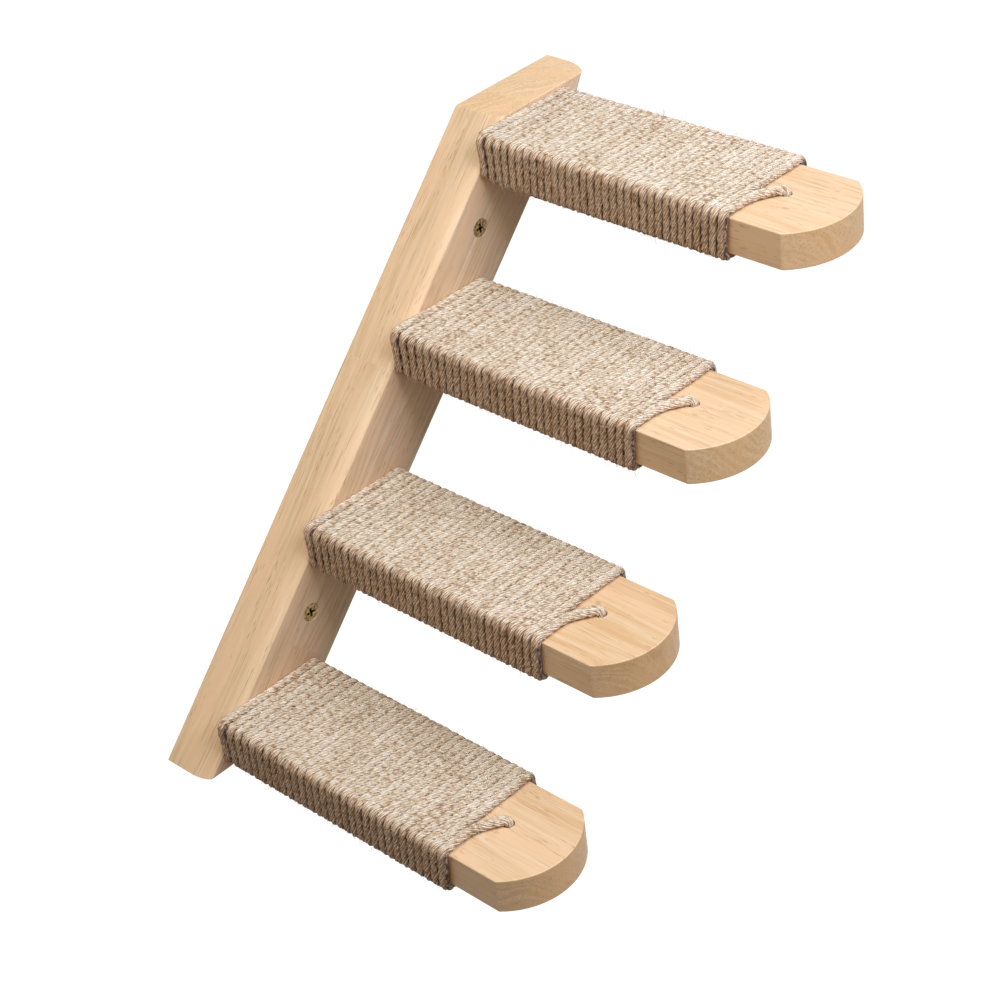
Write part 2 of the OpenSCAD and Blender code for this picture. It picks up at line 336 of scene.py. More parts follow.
def jute(name, pale, straw, brown, painted_shade, shade):
    """Natural jute yarn, drawn along and round the rope, with painted shade in its hollows and on its
    flanks.
    """
    material, add = new_material(name)
    along = add("Attribute", attribute_name=STRAND_ALONG)
    around = add("Attribute", attribute_name=STRAND_AROUND)
    place = add("TexCoord")
    around_parts = add("SeparateXYZ", {0: around.outputs["Vector"]})
    angle = add("Math", {0: around_parts.outputs["Y"], 1: around_parts}, "ARCTAN2")
    yarn = add("Math", {0: angle, 1: YARNS / math.tau}, "MULTIPLY")
    number = add("Math", {0: yarn}, "FLOOR")
    crown = add("Math", {0: yarn, 1: 0.5}, "PINGPONG")
    run = add("Math", {0: along.outputs["Fac"], 1: 1 / FLECK_L}, "MULTIPLY")
    fleck_at = add("CombineXYZ", {"X": run, "Y": around_parts, "Z": around_parts.outputs["Y"]})
    fleck_at = add("VectorMath", {0: fleck_at, 1: (1, 2.4, 2.4)}, "MULTIPLY")
    luck_at = add("CombineXYZ", {"X": run, "Y": number})
    luck = add("TexNoise", {"Vector": luck_at, "Scale": 1, "Detail": 1}, noise_dimensions="2D")
    luck = add("MapRange", {"Value": luck, "From Min": 0.32, "From Max": 0.68})
    fine = add("TexNoise", {"Vector": fleck_at, "Scale": 1.5, "Detail": 3, "Roughness": 0.7})

    # Batches of fibre differ along the rope, and sun and handling differ over the step
    spread = (1 / (7 * MM), 1 / (26 * MM), 1 / (26 * MM))
    batch_at = add("VectorMath", {0: place.outputs["Object"], 1: spread}, "MULTIPLY")
    batch = add("TexNoise", {"Vector": batch_at, "Scale": 1, "Detail": 2})
    tone = -0.42
    for value, weight in ((fine, 1.1), (luck, 0.4), (batch, 0.45)):
        tone = add("Math", {0: value, 1: weight, 2: tone}, "MULTIPLY_ADD")
    ramp = add("ValToRGB", {0: tone})
    ramp.color_ramp.elements[0].position = 0.25
    ramp.color_ramp.elements[0].color = colour(brown)
    ramp.color_ramp.elements[1].position = 0.85
    ramp.color_ramp.elements[1].color = colour(pale)
    ramp.color_ramp.elements.new(0.5).color = colour(straw)

    # The count of yarns is 0 in a seam and a half on a crown. Seams get painted shade: thin,
    # dark and broken by loose fibre. The dips between strands get painted shade all along
    broken = add("MapRange", {
        "Value": fine, "From Min": 0.44, "From Max": 0.62, "To Min": 0.95, "To Max": 0.3,
    })
    seam = add("MapRange", {
        "Value": crown, "From Min": 0.0, "From Max": 0.22, "To Min": broken, "To Max": 0,
    })
    dip = add("MapRange", {
        "Value": strand_lobe(add, around.outputs["Vector"]),
        "From Min": 0.0, "From Max": 0.3, "To Min": 0.75, "To Max": 0,
    })
    dark = add("Math", {0: seam, 1: dip}, "MAXIMUM")

    # Painted shade darkens the gaps between the turns, most of all on the flanks.
    # Loose fibre bridges the gap here and there. All painted shade is deeper on the flanks,
    # and their colour is multiplied by a warm painted shade tint as well
    gap_at = add("Attribute", attribute_name=TURN_GAP)
    flank = add("Attribute", attribute_name=FLANK)
    between = add("MapRange", {"Value": gap_at.outputs["Fac"], "From Min": 0.5, "From Max": 0.98})
    bridged = add("TexNoise", {
        "Vector": place.outputs["Object"], "Scale": 1 / (3.2 * MM), "Detail": 2, "Roughness": 0.6,
    })
    bridged = add("MapRange", {"Value": bridged, "From Min": 0.4, "From Max": 0.56, "To Min": 0.12})
    between = add("Math", {0: between, 1: bridged}, "MULTIPLY")
    weight = add("Math", {0: flank.outputs["Fac"], 1: 0.8, 2: 0.15}, "MULTIPLY_ADD")
    between = add("Math", {0: between, 1: weight}, "MULTIPLY")
    dark = add("Math", {0: dark, 1: between}, "MAXIMUM")
    depth = add("Math", {0: flank.outputs["Fac"], 1: 0.35, 2: 0.85}, "MULTIPLY_ADD")
    dark = add("Math", {0: dark, 1: depth}, "MULTIPLY")
    # Painted shade: seams, dips and gaps are mixed towards a dark shade colour
    tinted = add("Mix", {0: dark, 6: ramp, 7: colour(painted_shade)}, data_type="RGBA")
    # Painted shade: the flanks' colour is multiplied by a warm shade tint
    shaded = {0: flank.outputs["Fac"], 6: tinted, 7: colour(shade)}
    flank_shaded = add("Mix", shaded, data_type="RGBA", blend_type="MULTIPLY")
    height = add("Math", {0: crown, 1: 1.6, 2: fine}, "MULTIPLY_ADD")
    bump = add("Bump", {"Height": height, "Strength": 1, "Distance": 0.5 * MM})
    shader = add("BsdfPrincipled", {
        "Base Color": flank_shaded, "Roughness": 0.75, "IOR": JUTE_IOR,
        "Sheen Weight": 0.12, "Sheen Roughness": 0.4, "Normal": bump,
    })
    add("OutputMaterial", {"Surface": shader})
    return material


# Fourth colour: painted shade in seams, dips and gaps. Fifth: painted shade tint on the flanks
JUTE = jute("jute_rope", "#FCEEDA", "#E5CBAB", "#A87F58", "#3E220C", "#FFEDE2")
JUTE_FIBRE = jute("jute_stray_fibre", "#F6EAD6", "#E6D2B4", "#C9A985", "#A88A66", "#FFEFE2")
print("rope materials:", JUTE.name, JUTE_FIBRE.name)

# %% [markdown]
# ## Screw metals
# The two wall screws are steel, plated and darkened to antique brass, whose tarnish is
# cloudy. The eight screws behind the board are plain bright zinc. Both are metals, so the
# colour goes to the reflection, and the plating's unevenness goes to the roughness.

# %% Brass and zinc materials
def plated(name, bright, dull, smooth, rough):
    """Plated steel, with a cloudy tarnish."""
    material, add = new_material(name)
    place = add("TexCoord")
    cloud = add("TexNoise", {
        "Vector": place.outputs["Object"], "Scale": 1 / (1.6 * MM), "Detail": 4, "Roughness": 0.6,
    })
    tarnish = add("MapRange", {"Value": cloud, "From Min": 0.38, "From Max": 0.64})
    metal = add("Mix", {0: tarnish, 6: colour(bright), 7: colour(dull)}, data_type="RGBA")
    gloss = add("MapRange", {"Value": cloud, "To Min": smooth, "To Max": rough})
    shader = add("BsdfPrincipled", {"Base Color": metal, "Metallic": 1, "Roughness": gloss})
    add("OutputMaterial", {"Surface": shader})
    return material


ANTIQUE_BRASS = plated("antique_brass_plating", "#9C8357", "#332818", 0.12, 0.36)
BRIGHT_ZINC = plated("bright_zinc_plating", "#D2D4D6", "#A9ADB2", 0.18, 0.42)
print("metals:", ANTIQUE_BRASS.name, BRIGHT_ZINC.name)

# %% [markdown]
# ## Wooden pieces: prisms with eased edges
# Board and steps are sawn from planks, so each is an outline with a thickness. The outline is
# filled and extruded, and a Bevel modifier takes the sharpness off every edge, as sandpaper
# does. Bores and countersinks are then cut with a Boolean, because a drill cuts them last on
# the real piece too. Area-weighted normals keep the flat faces flat beside the soft edges.

# %% Tools for wood: prism, lathe, cut and finish
def new_object(name, mesh):
    """Links a mesh to the scene as an object at the origin."""
    piece = bpy.data.objects.new(name, mesh)
    bpy.context.scene.collection.objects.link(piece)
    return piece


def discard(piece):
    """Deletes an object and its mesh."""
    mesh = piece.data
    bpy.data.objects.remove(piece)
    bpy.data.meshes.remove(mesh)


def applied_mesh(piece):
    """A new mesh with all modifiers of a piece applied. The piece loses them."""
    graph = bpy.context.evaluated_depsgraph_get()
    mesh = bpy.data.meshes.new_from_object(
        piece.evaluated_get(graph), preserve_all_data_layers=True, depsgraph=graph)
    piece.modifiers.clear()
    return mesh


def settle(piece):
    """Applies all modifiers of a piece to its own mesh."""
    old = piece.data
    piece.data = applied_mesh(piece)
    bpy.data.meshes.remove(old)
    piece.data.name = piece.name


def solid(name, build, place=Matrix.Identity(4)):
    """A closed object from a finished bmesh, with its faces turned outwards."""
    bmesh.ops.recalc_face_normals(build, faces=build.faces)
    build.transform(place)
    mesh = bpy.data.meshes.new(name)
    build.to_mesh(mesh)
    build.free()
    return new_object(name, mesh)


def prism(name, *outlines):
    """Closed solid through rings of points that match one to one."""
    build = bmesh.new()
    rings = [[build.verts.new(p) for p in outline] for outline in outlines]
    build.faces.new(rings[0])
    build.faces.new(rings[-1])
    for one, two in zip(rings, rings[1:]):
        for i in range(len(one)):
            j = (i + 1) % len(one)
            build.faces.new([one[i], one[j], two[j], two[i]])
    return solid(name, build)


def lathe(name, profile, place, sides=48):
    """Closed turned solid from (distance along, radius) pairs, whose axis is the place's X."""
    build = bmesh.new()
    rings = []
    for along, radius in profile:
        if radius == 0:
            rings.append([build.verts.new((along, 0, 0))])
            continue
        rings.append([
            build.verts.new((along, radius * math.cos(a), radius * math.sin(a)))
            for a in (math.tau * i / sides for i in range(sides))
        ])
    for one, two in zip(rings, rings[1:]):
        for i in range(sides):
            j = (i + 1) % sides
            corners = [one[i % len(one)], one[j % len(one)], two[j % len(two)], two[i % len(two)]]
            build.faces.new(list(dict.fromkeys(corners)))
    return solid(name, build, place)


def ease_edges(piece, radius, segments=3, from_angle=30):
    """Rounds every edge that turns by more than the angle."""
    bevel = piece.modifiers.new("eased", "BEVEL")
    bevel.width = radius
    bevel.segments = segments
    bevel.limit_method = "ANGLE"
    bevel.angle_limit = math.radians(from_angle)
    settle(piece)


def cut(piece, cutters):
    """Takes the cutters out of a piece and deletes them."""
    for cutter in cutters:
        boolean = piece.modifiers.new("cut", "BOOLEAN")
        boolean.operation = "DIFFERENCE"
        boolean.solver = "EXACT"
        boolean.object = cutter
        settle(piece)
        discard(cutter)


def smooth_faces(piece, sharp_from=40):
    """Smooth shading that keeps flat faces flat and hard edges hard."""
    piece.data.shade_smooth()
    piece.data.set_sharp_from_angle(angle=math.radians(sharp_from))
    weighted = piece.modifiers.new("flat faces", "WEIGHTED_NORMAL")
    weighted.keep_sharp = True
    weighted.weight = 100
    settle(piece)


def dress(piece, material, slot, *nodes):
    """Gives a finished piece its material and its body, and hides the CAD nodes that it stands for."""
    piece.data.materials.clear()
    piece.data.materials.append(material)
    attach(piece, "root")
    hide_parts(*nodes)
    print(f"{piece.name}: {len(piece.data.vertices)} points, {len(piece.data.polygons)} faces")


# %% [markdown]
# ## Sizes of the screws and their bores
# A countersunk wood screw has a flat head with a cone under it, a plain shank, and a thread.
# The screws are sized once, here, because both their bores in the wood and the screws
# themselves need the same numbers.

# %% Screw sizes
POINT_L = 4 * MM
POINT_R = 0.15 * MM
HEAD_RIM = 0.25 * MM
RECESS_SHARE = 0.55
RECESS_DEEP = 2.3 * MM
RECESS_HALF_ARM = 0.7 * MM
BORE_D = 5.4 * MM
PILOT_D = 4.7 * MM
SCREW_AIR = 0.45 * MM
OVERRUN = 1 * MM
WALL_SCREWS = ["upper_wall_screw", "lower_wall_screw"]
STEP_SCREWS = [f"step_{k}_{side}_screw" for k in STEPS for side in ("low", "high")]
WALL_SCREW = {
    "shank": 3.7 * MM, "thread": 5 * MM, "core": 3.4 * MM, "pitch": 2.2 * MM, "sink": 0.4 * MM,
}
STEP_SCREW = {
    "shank": 3.4 * MM, "thread": 4.5 * MM, "core": 3.1 * MM, "pitch": 1.9 * MM, "sink": 1 * MM,
}


def screw_sizes(node):
    """All sizes of a screw: its length and head come from its CAD box."""
    low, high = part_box(node)
    kind = WALL_SCREW if node in WALL_SCREWS else STEP_SCREW
    return {**kind, "long": high.x - low.x, "head": high.y - low.y}


def screw_place(node):
    """Place and direction of a screw: its X axis runs from the head's face to the point."""
    at = middle(node)
    low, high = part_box(node)
    if node in WALL_SCREWS:
        return Matrix.Translation((high.x, at.y, at.z)) @ Matrix.Rotation(math.pi, 4, "Z")
    return Matrix.Translation((low.x, at.y, at.z))


def bore_cutter(node):
    """A clearance bore through the board, with a countersink for the screw's head."""
    sizes = screw_sizes(node)
    sink = sizes["sink"]
    rim = sizes["head"] / 2 + SCREW_AIR
    end = BOARD_T - sink + OVERRUN
    return lathe("bore", [
        (-sink - OVERRUN, 0),
        (-sink - OVERRUN, rim),
        (0, rim),
        (rim - BORE_D / 2, BORE_D / 2),
        (end, BORE_D / 2),
        (end, 0),
    ], screw_place(node))


# %% [markdown]
# ## The back board
# The board's section has a square back, which lies on the wall. Its long front edges are
# rounded, the near one to a wide, shallow curve. The ends are cut level, so the solid runs
# between rings of points: the slanting board, met by level planes. At the top, the far edge
# has been sanded down further, over the last ten millimetres.

# %% Back board
def board_ring(z, far_ease=BOARD_FAR_EASE, steps=12):
    """The board's section where a level plane at height z meets it."""
    half = BOARD_ACROSS / 2
    section = [(0, -half), (0, half)]
    angles = [math.radians(90) * i / steps for i in range(steps + 1)]
    for a in angles:
        section.append((
            BOARD_T - far_ease[1] * (1 - math.sin(a)),
            half - far_ease[0] * (1 - math.cos(a)),
        ))
    for a in angles:
        section.append((
            BOARD_T - BOARD_NEAR_EASE[1] * (1 - math.cos(a)),
            -half + BOARD_NEAR_EASE[0] * (1 - math.sin(a)),
        ))
    return [(x, y + z * math.tan(BOARD_LEAN), z) for x, y in section]


board = prism("leaning_board", board_ring(-BOARD_H / 2), board_ring(BOARD_H / 2 - BOARD_EASED_TOP),
              board_ring(BOARD_H / 2, BOARD_FAR_EASE_TOP))
ease_edges(board, SMALL_EDGE_R)
cut(board, [bore_cutter(n) for n in WALL_SCREWS + STEP_SCREWS])
smooth_faces(board)
dress(board, BOARD_WOOD, "board_wood", "back_board")

# %% [markdown]
# ## The steps
# A step is a straight bar with an arc for a tip. The arc meets the sides at a corner that can
# be felt, so it isn't blended into them. The rope's outer end goes down a bore near the tip,
# and its inner end into a blind bore in the near side, hidden by the winding.

# %% Steps
BORE_SIDES = 32


def step_outline(arc_steps=40):
    """Outline of a step from above, from its place on the board to its tip."""
    half = STEP_W / 2
    radius = (half ** 2 + TIP_RISE ** 2) / (2 * TIP_RISE)
    reach = math.asin(half / radius)
    centre_x = STEP_L - radius
    outline = [(0, half), (0, -half)]
    for i in range(arc_steps + 1):
        a = -reach + 2 * reach * i / arc_steps
        outline.append((centre_x + radius * math.cos(a), radius * math.sin(a)))
    return outline


def step_cutters(k):
    """The rope's through bore and blind bore, and the pilot bores of the two step screws."""
    half_t = STEP_T / 2
    wide = HOLE_D / 2 + HOLE_RIM + OVERRUN
    down = STEP_AT[k] + Vector((WRAP_L + HOLE_OUT, HOLE_SIDE, 0))
    down = Matrix.Translation(down) @ Matrix.Rotation(math.radians(-90), 4, "Y")
    cutters = [lathe("through bore", [
        (-half_t - OVERRUN, 0),
        (-half_t - OVERRUN, wide),
        (-half_t + HOLE_RIM, HOLE_D / 2),
        (half_t - HOLE_RIM, HOLE_D / 2),
        (half_t + OVERRUN, wide),
        (half_t + OVERRUN, 0),
    ], down, BORE_SIDES)]
    inward = STEP_AT[k] + Vector((START_HOLE_D / 2, -STEP_W / 2, START_HOLE_UP))
    inward = Matrix.Translation(inward) @ Matrix.Rotation(math.radians(90), 4, "Z")
    blind = [("blind bore", START_HOLE_DEEP, START_HOLE_D / 2, inward)]
    for side in ("low", "high"):
        node = f"step_{k}_{side}_screw"
        place = Matrix.Translation((BOARD_T, middle(node).y, middle(node).z))
        blind.append(("pilot bore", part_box(node)[1].x - BOARD_T, PILOT_D / 2, place))
    for name, deep, radius, place in blind:
        profile = [(-OVERRUN, 0), (-OVERRUN, radius), (deep, radius), (deep, 0)]
        cutters.append(lathe(name, profile, place, BORE_SIDES))
    return cutters


for k in STEPS:
    half = Vector((0, 0, STEP_T / 2))
    outline = [STEP_AT[k] + Vector((x, y, 0)) for x, y in step_outline()]
    step = prism(f"wooden_step_{k}", [p - half for p in outline], [p + half for p in outline])
    ease_edges(step, SMALL_EDGE_R)
    cut(step, step_cutters(k))
    smooth_faces(step)
    dress(step, STEP_WOOD[k], "step_wood", f"step_{k}")

# %% [markdown]
# ## The rope's way round a step
# Each rope starts in its blind bore, is laid down along the wood, turns back and is wound over
# its own end. That makes the first turn stand out beside the board, as the real one does. A
# turn climbs the near side nearly upright, crosses the top, goes down the far side and comes
# back under the step, where most of its advance is hidden. At the end the rope crosses the
# top aslant and goes down its bore. The way is worked out by a rule, with a slow wander that
# neighbouring turns share, since each one lies against the last, and a quicker one of its own.

# %% Rope way
TURNS = {1: 32, 2: 30, 3: 31, 4: 30}
LAST_TOP = 166.9 * MM
ROPE_HIGH = 4.55 * MM
ROPE_FREE_D = 5.6 * MM
ROPE_SNUG = 1.05
WOOD_AIR = 0.05 * MM
RING_STEP = 1.66 * MM
CORNER_STEPS = 5
WANDER = 0.3 * MM
SHARED_WAVE = (22 * MM, 24 * MM, 16 * MM)
OWN_WAVE = (3.5 * MM, 11 * MM, 8 * MM)
STEADY_L = 20 * MM
STEADY_POINTS = 30
CREEP = (0, 0.3, 0.55, 0.65, 1)
SETTLE_TURNS = 6
START_BULGE = (1.5 * MM, 0.5 * MM, 0.2 * MM)
START_TUCK = (1.0 * MM, 0.6 * MM, 0.3 * MM)
TUCKED_GIRTH = 0.5
TUCK_BEND_R = 1.5 * MM
TAIL_BEND_Y = -14 * MM
TAIL_BEND_STEPS = 8
TAIL_OPENS_IN = 14
ROPE_OUT = ROPE_HIGH / 2 + WOOD_AIR
SIDE_Y = STEP_W / 2 + ROPE_OUT
TOP_Z = STEP_T / 2 + ROPE_OUT
BEND_R = ROPE_OUT + SMALL_EDGE_R
CORNER_Y = SIDE_Y - BEND_R
CORNER_Z = TOP_Z - BEND_R


def pitch_of(k):
    """Distance from one turn to the next."""
    return LAST_TOP / (TURNS[k] + CREEP[1])


def creep(n, phase):
    """Advance within turn n, in pitches. The phase counts the near side, top, far side, underside."""
    part = min(3, int(phase))
    usual = CREEP[part] + (CREEP[part + 1] - CREEP[part]) * (phase - part)
    hidden = max(0, phase - 3)
    return hidden + (usual - hidden) * min(1, n / SETTLE_TURNS)


def straight(start, end, step=RING_STEP):
    """Points from start towards end, the last one left out."""
    count = max(1, round((end - start).length / step))
    return [start.lerp(end, i / count) for i in range(count)]


def turn_outline():
    """One turn seen along the step: place, outward direction and phase of each point."""
    outline = []
    sides = [(-1, -1, -1, 1), (-1, 1, 1, 1), (1, 1, 1, -1), (1, -1, -1, -1)]
    for phase, (y0, z0, y1, z1) in enumerate(sides):
        out = Vector((0, y0 + y1, z0 + z1)).normalized()
        start = Vector((0, y0 * CORNER_Y, z0 * CORNER_Z)) + out * BEND_R
        end = Vector((0, y1 * CORNER_Y, z1 * CORNER_Z)) + out * BEND_R
        points = straight(start, end)
        outline += [(p, out, phase + i / len(points)) for i, p in enumerate(points)]
        for i in range(CORNER_STEPS):
            a = math.radians(90) * i / CORNER_STEPS
            away = Matrix.Rotation(-a, 3, "X") @ out
            outline.append((end + (away - out) * BEND_R, away, phase + 1))
    return outline


def rope_way(k):
    """Points along the middle of a rope, their girth, and the number of the tail's first point."""
    pitch = pitch_of(k)
    first = pitch / 2
    wall_y = -STEP_W / 2
    thin = ROPE_HIGH / 2 * TUCKED_GIRTH
    bend = TUCK_BEND_R
    inner = Vector((first, wall_y + START_HOLE_DEEP - ROPE_HIGH / 2, START_HOLE_UP))
    mouth = Vector((first, wall_y - thin + bend, START_HOLE_UP))
    way = [(p, 1) for p in straight(inner, mouth)]
    for i in range(CORNER_STEPS):
        a = math.radians(90) * i / CORNER_STEPS
        turned = Vector((0, -math.sin(a), math.cos(a) - 1)) * bend
        way.append((mouth + turned, 1 + (TUCKED_GIRTH - 1) * i / CORNER_STEPS))
    down = mouth + Vector((0, -bend, -bend))
    foot = Vector((first, down.y, -CORNER_Z + bend))
    way += [(p, TUCKED_GIRTH) for p in straight(down, foot)]
    loop_r = (SIDE_Y + START_BULGE[0] + foot.y) / 2
    for i in range(2 * CORNER_STEPS):
        a = math.radians(180) * i / (2 * CORNER_STEPS)
        turned = Vector((0, math.cos(a) - 1, -math.sin(a))) * loop_r
        way.append((foot + turned, TUCKED_GIRTH + (1 - TUCKED_GIRTH) * i / (2 * CORNER_STEPS)))
    outline = turn_outline()
    for n in range(TURNS[k] + 1):
        bulge = START_BULGE[n] if n < len(START_BULGE) else 0
        tuck = START_TUCK[n] if n < len(START_TUCK) else 0
        for p, out, phase in outline:
            if n == 0 and phase < 1 and p.z < foot.z:
                continue
            if n == TURNS[k] and phase > 1:
                break
            stand = bulge * min(1, max(0, 1 - 0.75 * (phase - 1)), max(0, 3 - phase))
            near_corner = max(0, 1 - abs(phase - 1) * (2 if phase < 1 else 2.5))
            x = first + (n + creep(n, phase)) * pitch - tuck * near_corner
            way.append((Vector((x, p.y, p.z)) + out * stand, 1))
    tail_start = len(way) - CORNER_STEPS
    lifted = TOP_Z + (ROPE_FREE_D - ROPE_HIGH) / 2
    hole = Vector((WRAP_L + HOLE_OUT, HOLE_SIDE, lifted))
    corner = Vector((first + (TURNS[k] + CREEP[1]) * pitch, -CORNER_Y, TOP_Z))
    turning = Vector((first + (TURNS[k] + CREEP[1] + 0.1) * pitch, TAIL_BEND_Y, lifted))
    aim = (hole - turning).normalized()
    before = turning + (corner - turning).normalized() * 2 * ROPE_FREE_D
    after = turning + aim * ROPE_FREE_D
    dip = ROPE_FREE_D * 0.6
    way += [(p, 1) for p in straight(corner, before)]
    for i in range(TAIL_BEND_STEPS):
        share = i / TAIL_BEND_STEPS
        way.append((before.lerp(turning, share).lerp(turning.lerp(after, share), share), 1))
    way += [(p, 1) for p in straight(after, hole - aim * dip)]
    for i in range(CORNER_STEPS + 1):
        a = math.radians(90) * i / CORNER_STEPS
        way.append((hole - aim * dip * (1 - math.sin(a)) - Vector((0, 0, dip * (1 - math.cos(a)))), 1))
    way += [(p, 1) for p in straight(way.pop()[0], Vector((hole.x, hole.y, -STEP_T / 2)))]
    return way, tail_start


def way_object(k):
    """The way as a chain of edges, with girth, freedom and share on the flank at each point."""
    way, tail_start = rope_way(k)
    wandered = []
    for i, (p, _) in enumerate(way):
        here = Vector((p.x / SHARED_WAVE[0] + 9 * k, p.y / SHARED_WAVE[1], p.z / SHARED_WAVE[2]))
        held = min(1, p.x / STEADY_L, (len(way) - 1 - i) / STEADY_POINTS)
        own = noise.noise(Vector((p.x / OWN_WAVE[0], p.y / OWN_WAVE[1], p.z / OWN_WAVE[2] + 9 * k)))
        drift = (noise.noise(here) + noise.noise(here * 2.9) * 0.6 + own) * WANDER * held
        lift = (noise.noise(here * 2 + Vector((40, 0, 0))) + 0.3) * WANDER * 0.35 * held
        away = Vector((0, p.y / (STEP_W / 2), p.z / (STEP_T / 2)))
        wandered.append(STEP_AT[k] + p + Vector((drift, 0, 0)) + away.normalized() * max(0, lift))
    mesh = bpy.data.meshes.new(f"rope_way_{k}")
    mesh.from_pydata(wandered, [(i, i + 1) for i in range(len(way) - 1)], [])
    girths = mesh.attributes.new("girth", "FLOAT", "POINT")
    opened = mesh.attributes.new("opened", "FLOAT", "POINT")
    flanks = mesh.attributes.new(FLANK, "FLOAT", "POINT")
    for i, (p, girth) in enumerate(way):
        girths.data[i].value = girth
        opened.data[i].value = min(1, max(0, (i - tail_start) / TAIL_OPENS_IN))
        flanks.data[i].value = min(1, max(0, (abs(p.y) - CORNER_Y) / BEND_R))
    length = sum((b - a).length for a, b in zip(wandered, wandered[1:]))
    return new_object(f"rope_way_{k}", mesh), length


ways = {k: way_object(k) for k in STEPS}
for k, (way, length) in ways.items():
    print(f"rope {k}: {TURNS[k]} turns, {pitch_of(k) / MM:.2f} mm apart, {length:.2f} m long")

# %% [markdown]
# ## Laying the strands
# A rope-maker twists six strands round each other. Strand by strand, that would take far more
# faces than it shows, because most of each strand lies inside the rope. So Geometry Nodes
# sweep one outline with six lobes along the way and turn it once in each lay. The twist is
# right-handed. The section is then pressed from round to a rounded square, wider along
# the step than it is high, as turns press on each other: more on top, where it lies tight,
# than on the flanks. The tail stays round. The tree leaves attributes for the material.

# %% Rope tree
ROPE_LAY = 30 * MM
ROPE_SIDES = 24
STRAND_DEPTH = 0.2
PRESSED_TOP = 3.2
PRESSED_FLANK = 2.4


def modifier_tree(name, inputs):
    """A Geometry Nodes tree with named inputs, what adds a node to it, and its inputs' sockets."""
    tree = bpy.data.node_groups.new(name, "GeometryNodeTree")
    tree.interface.new_socket("Geometry", in_out="INPUT", socket_type="NodeSocketGeometry")
    tree.interface.new_socket("Geometry", in_out="OUTPUT", socket_type="NodeSocketGeometry")
    for label, kind in inputs.items():
        tree.interface.new_socket(label, in_out="INPUT", socket_type="NodeSocket" + kind)
    add = partial(add_node, tree)
    return tree, add, add("NodeGroupInput").outputs


def grow(way, tree, values, name):
    """Runs a tree on an object and returns the result as a plain mesh object."""
    nodes = way.modifiers.new(tree.name, "NODES")
    nodes.node_group = tree
    sockets = {s.name: s.identifier for s in tree.interface.items_tree if s.in_out == "INPUT"}
    for label, value in values.items():
        nodes[sockets[label]] = value
    mesh = applied_mesh(way)
    mesh.name = name
    return new_object(name, mesh)


def end_tree(add, given, geometry):
    """Ends a tree with real geometry in the given material."""
    whole = add("GeometryNodeRealizeInstances", {0: geometry})
    painted = add("GeometryNodeSetMaterial", {"Geometry": whole, "Material": given["Material"]})
    add("NodeGroupOutput", {0: painted})


